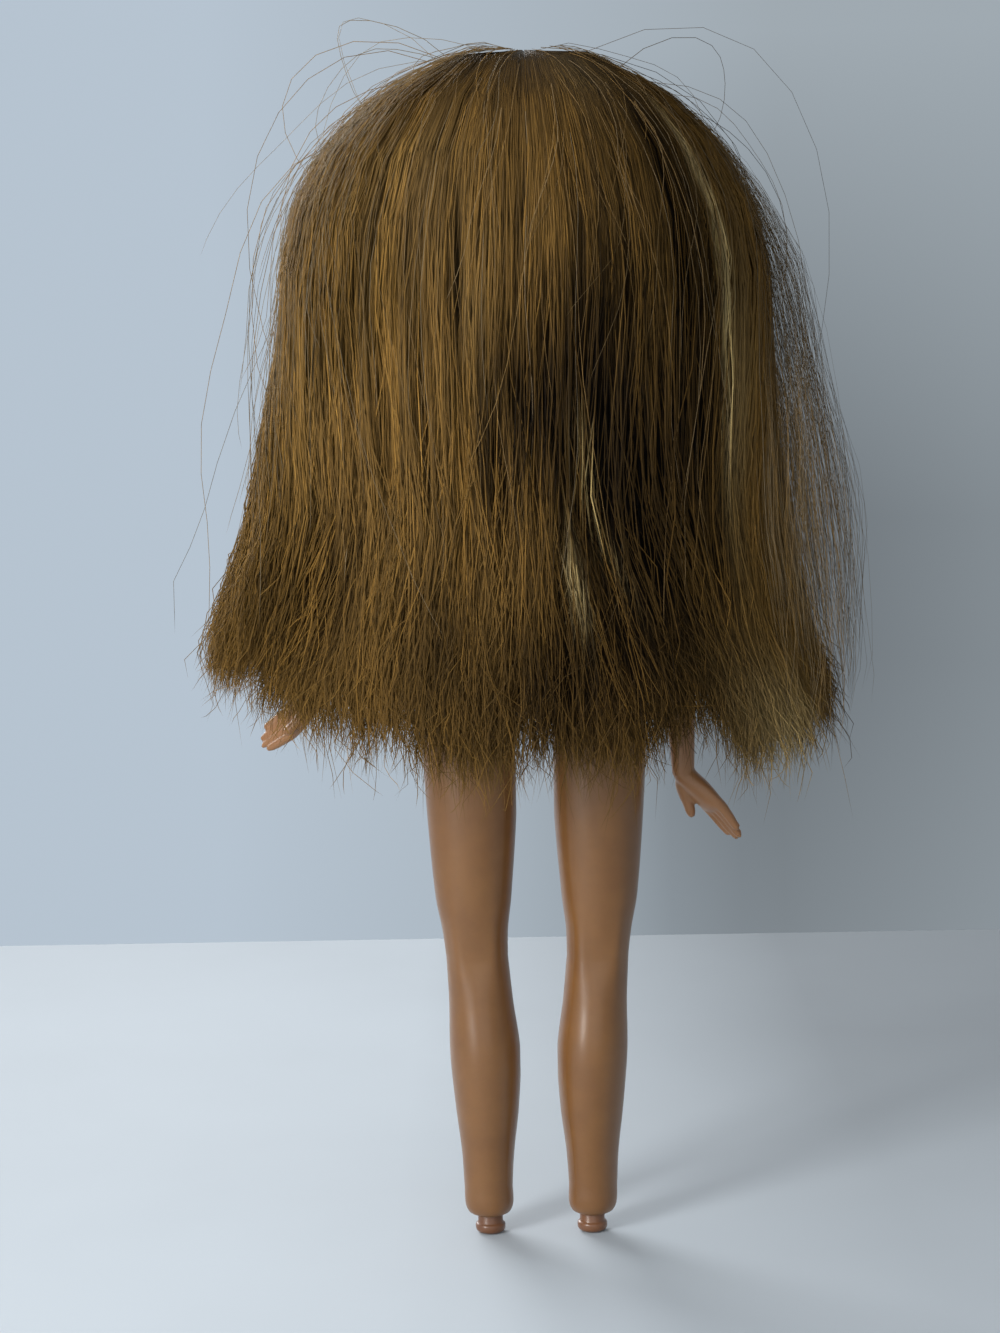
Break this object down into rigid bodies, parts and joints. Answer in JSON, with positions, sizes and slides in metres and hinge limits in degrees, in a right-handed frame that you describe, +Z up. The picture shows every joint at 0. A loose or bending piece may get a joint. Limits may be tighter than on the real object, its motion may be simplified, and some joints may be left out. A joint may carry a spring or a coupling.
{
  "type": "fashion doll",
  "caption": "Posable vinyl fashion doll with a large head, long rooted centre-parted hair, click-bend knees and ankle pegs for push-on feet.",
  "frame": {"origin": "under the middle of the doll's box, on the surface that its ankle pegs stand on", "axes": "+Z up through the head, -Y the way the face looks, +X the doll's own left side"},
  "size_m": [0.1245, 0.065, 0.2343],
  "materials": {
    "body_plastic": "satin",
    "arm_vinyl": "satin",
    "leg_vinyl": "gloss",
    "head_vinyl": "satin",
    "inner_plastic": "matte",
    "peg_plastic": "satin",
    "hair_fibre": "satin"
  },
  "bodies": {
    "torso": {"torso_front": "body_plastic", "torso_back": "body_plastic", "neck_knob": "inner_plastic", "hip_bar": "inner_plastic"},
    "head": {"head_shell": "head_vinyl", "hair_rooted_cap": "hair_fibre", "hair_lock_back": "hair_fibre", "hair_lock_left_1": "hair_fibre", "hair_lock_left_2": "hair_fibre", "hair_lock_left_3": "hair_fibre", "hair_lock_left_4": "hair_fibre", "hair_lock_left_5": "hair_fibre", "hair_lock_right_1": "hair_fibre", "hair_lock_right_2": "hair_fibre", "hair_lock_right_3": "hair_fibre", "hair_lock_right_4": "hair_fibre", "hair_lock_right_5": "hair_fibre"},
    "left_arm": {"left_arm": "arm_vinyl", "left_shoulder_peg": "inner_plastic"},
    "left_thigh": {"left_thigh_skin": "leg_vinyl", "left_knee_skin": "leg_vinyl", "left_thigh_link": "inner_plastic", "left_knee_pin": "inner_plastic"},
    "left_shin": {"left_shin_skin": "leg_vinyl", "left_shin_link": "peg_plastic"},
    "right_arm": {"right_arm": "arm_vinyl", "right_shoulder_peg": "inner_plastic"},
    "right_thigh": {"right_thigh_skin": "leg_vinyl", "right_knee_skin": "leg_vinyl", "right_thigh_link": "inner_plastic", "right_knee_pin": "inner_plastic"},
    "right_shin": {"right_shin_skin": "leg_vinyl", "right_shin_link": "peg_plastic"}
  },
  "joints": [
    {"name": "head_turn", "type": "hinge", "parent": "torso", "child": "head", "pos_m": [0, -0.0052, 0.1742], "axis": [0, 0, 1], "range_deg": [-60, 60], "deforming": ["hair_lock_back", "hair_lock_left_1", "hair_lock_left_2", "hair_lock_left_3", "hair_lock_left_4", "hair_lock_left_5", "hair_lock_right_1", "hair_lock_right_2", "hair_lock_right_3", "hair_lock_right_4", "hair_lock_right_5"]},
    {"name": "left_shoulder", "type": "hinge", "parent": "torso", "child": "left_arm", "pos_m": [0.0168, -0.0052, 0.16], "axis": [-1, 0, 0], "range_deg": [-25, 140]},
    {"name": "left_hip", "type": "hinge", "parent": "torso", "child": "left_thigh", "pos_m": [0.0038, -0.0052, 0.118], "axis": [-1, 0, 0], "range_deg": [-20, 90]},
    {"name": "left_knee", "type": "hinge", "parent": "left_thigh", "child": "left_shin", "pos_m": [0.01175, -0.0052, 0.057], "axis": [1, 0, 0], "range_deg": [0, 75], "deforming": ["left_knee_skin"]},
    {"name": "right_shoulder", "type": "hinge", "parent": "torso", "child": "right_arm", "pos_m": [-0.0168, -0.0052, 0.16], "axis": [-1, 0, 0], "range_deg": [-25, 140]},
    {"name": "right_hip", "type": "hinge", "parent": "torso", "child": "right_thigh", "pos_m": [-0.0038, -0.0052, 0.118], "axis": [-1, 0, 0], "range_deg": [-20, 90]},
    {"name": "right_knee", "type": "hinge", "parent": "right_thigh", "child": "right_shin", "pos_m": [-0.01175, -0.0052, 0.057], "axis": [1, 0, 0], "range_deg": [0, 75], "deforming": ["right_knee_skin"]}
  ]
}
